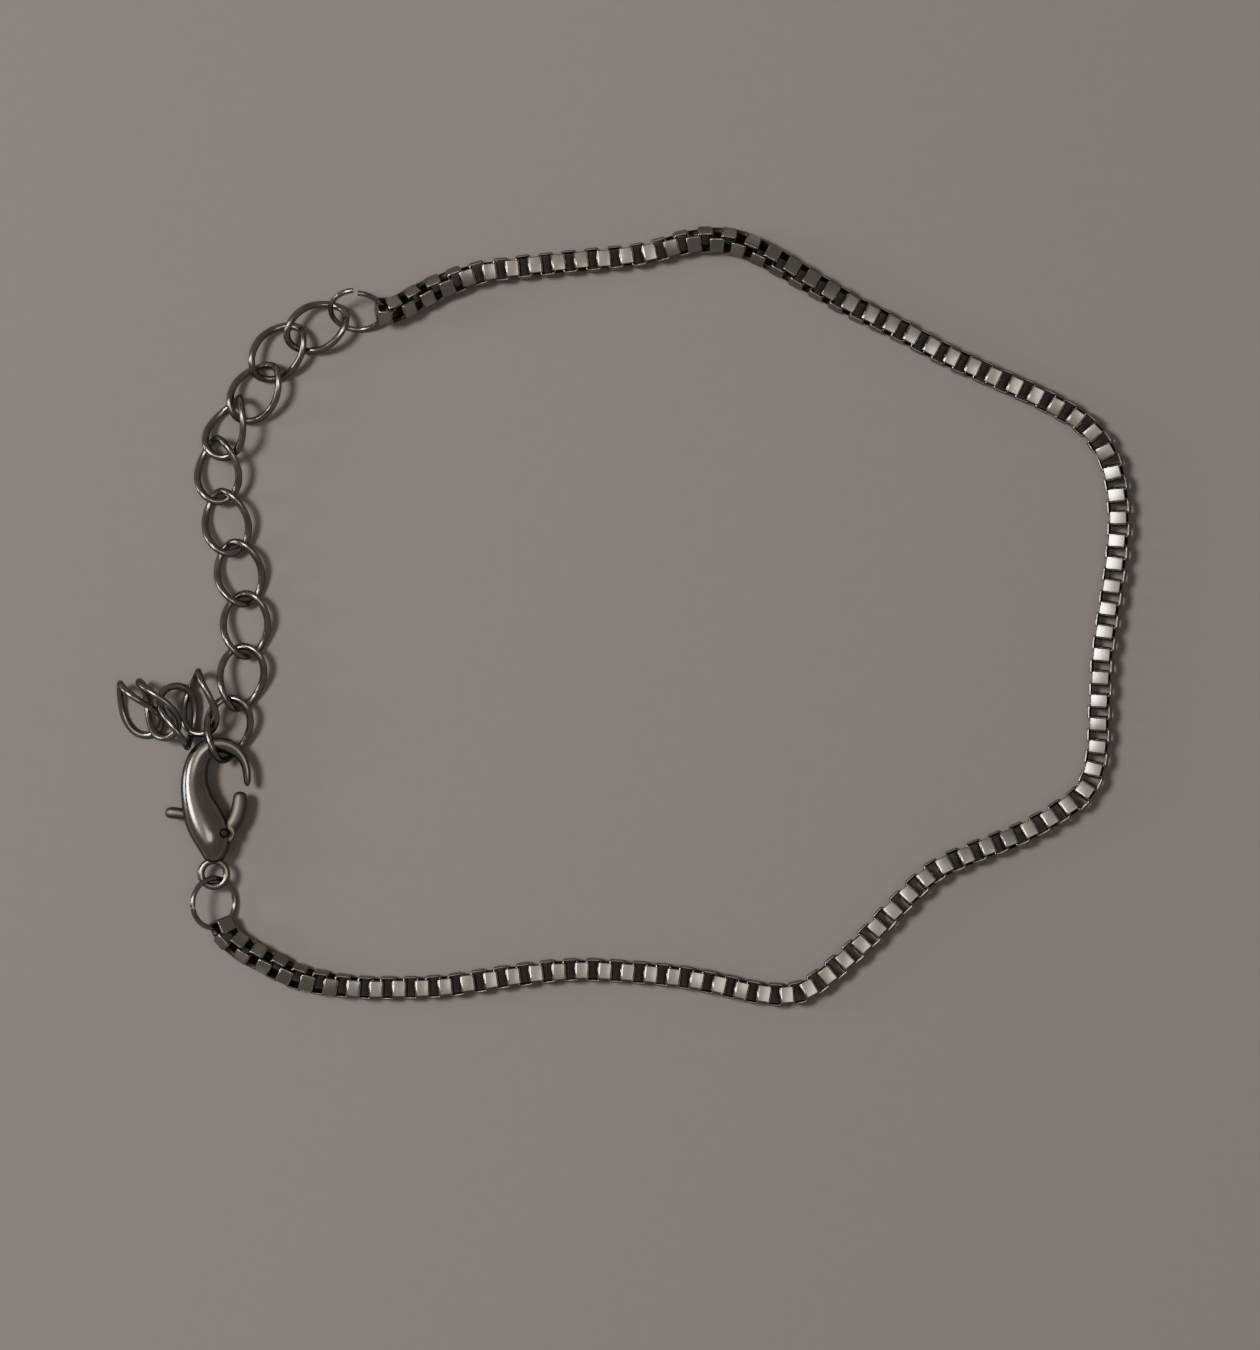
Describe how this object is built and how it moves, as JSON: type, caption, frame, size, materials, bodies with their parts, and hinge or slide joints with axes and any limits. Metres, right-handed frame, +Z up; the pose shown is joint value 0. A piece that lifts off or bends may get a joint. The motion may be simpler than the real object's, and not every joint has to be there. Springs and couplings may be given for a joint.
{
  "type": "box chain bracelet with lobster clasp and extender chain",
  "caption": "Closed bracelet of square box links with a lobster clasp hooked into a curb-link extender, lying flat.",
  "frame": {"origin": "bottom centre of the bounding box, on the surface that the bracelet lies on", "axes": "+Z up from the surface; +X from the clasp across the loop, the loop's long way; +Y from the clasp's eye to its hook"},
  "size_m": [0.0781, 0.06, 0.0037],
  "materials": {
    "box_chain_metal": "polished silver-coloured plating, dark in the crevices",
    "extender_metal": "polished silver-coloured plating",
    "ring_metal": "polished silver-coloured plating",
    "clasp_metal": "polished cast metal, silver-coloured plating",
    "lever_metal": "satin stamped metal, silver-coloured plating",
    "pin_metal": "plain rivet, a little dark"
  },
  "bodies": {
    "bracelet": {"box_chain": "box_chain_metal", "extender_ring": "ring_metal", "extender_link_01": "extender_metal", "extender_link_02": "extender_metal", "extender_link_03": "extender_metal", "extender_link_04": "extender_metal", "extender_link_05": "extender_metal", "extender_link_06": "extender_metal", "extender_link_07": "extender_metal", "extender_link_08": "extender_metal", "extender_link_09": "extender_metal", "extender_link_10": "extender_metal", "extender_link_11": "extender_metal", "extender_link_12": "extender_metal", "extender_link_13": "extender_metal", "extender_link_14": "extender_metal", "clasp_ring": "ring_metal", "clasp_body": "clasp_metal", "clasp_pin": "pin_metal"},
    "lever": {"clasp_lever": "lever_metal"}
  },
  "joints": [
    {"name": "lever_swing", "type": "hinge", "parent": "bracelet", "child": "lever", "pos_m": [-0.03064, -0.01665, 0.0015], "axis": [0, 0, 1], "range_deg": [0, 24], "stiffness_Nm_per_rad": 0.01, "springref_deg": -17.19}
  ]
}
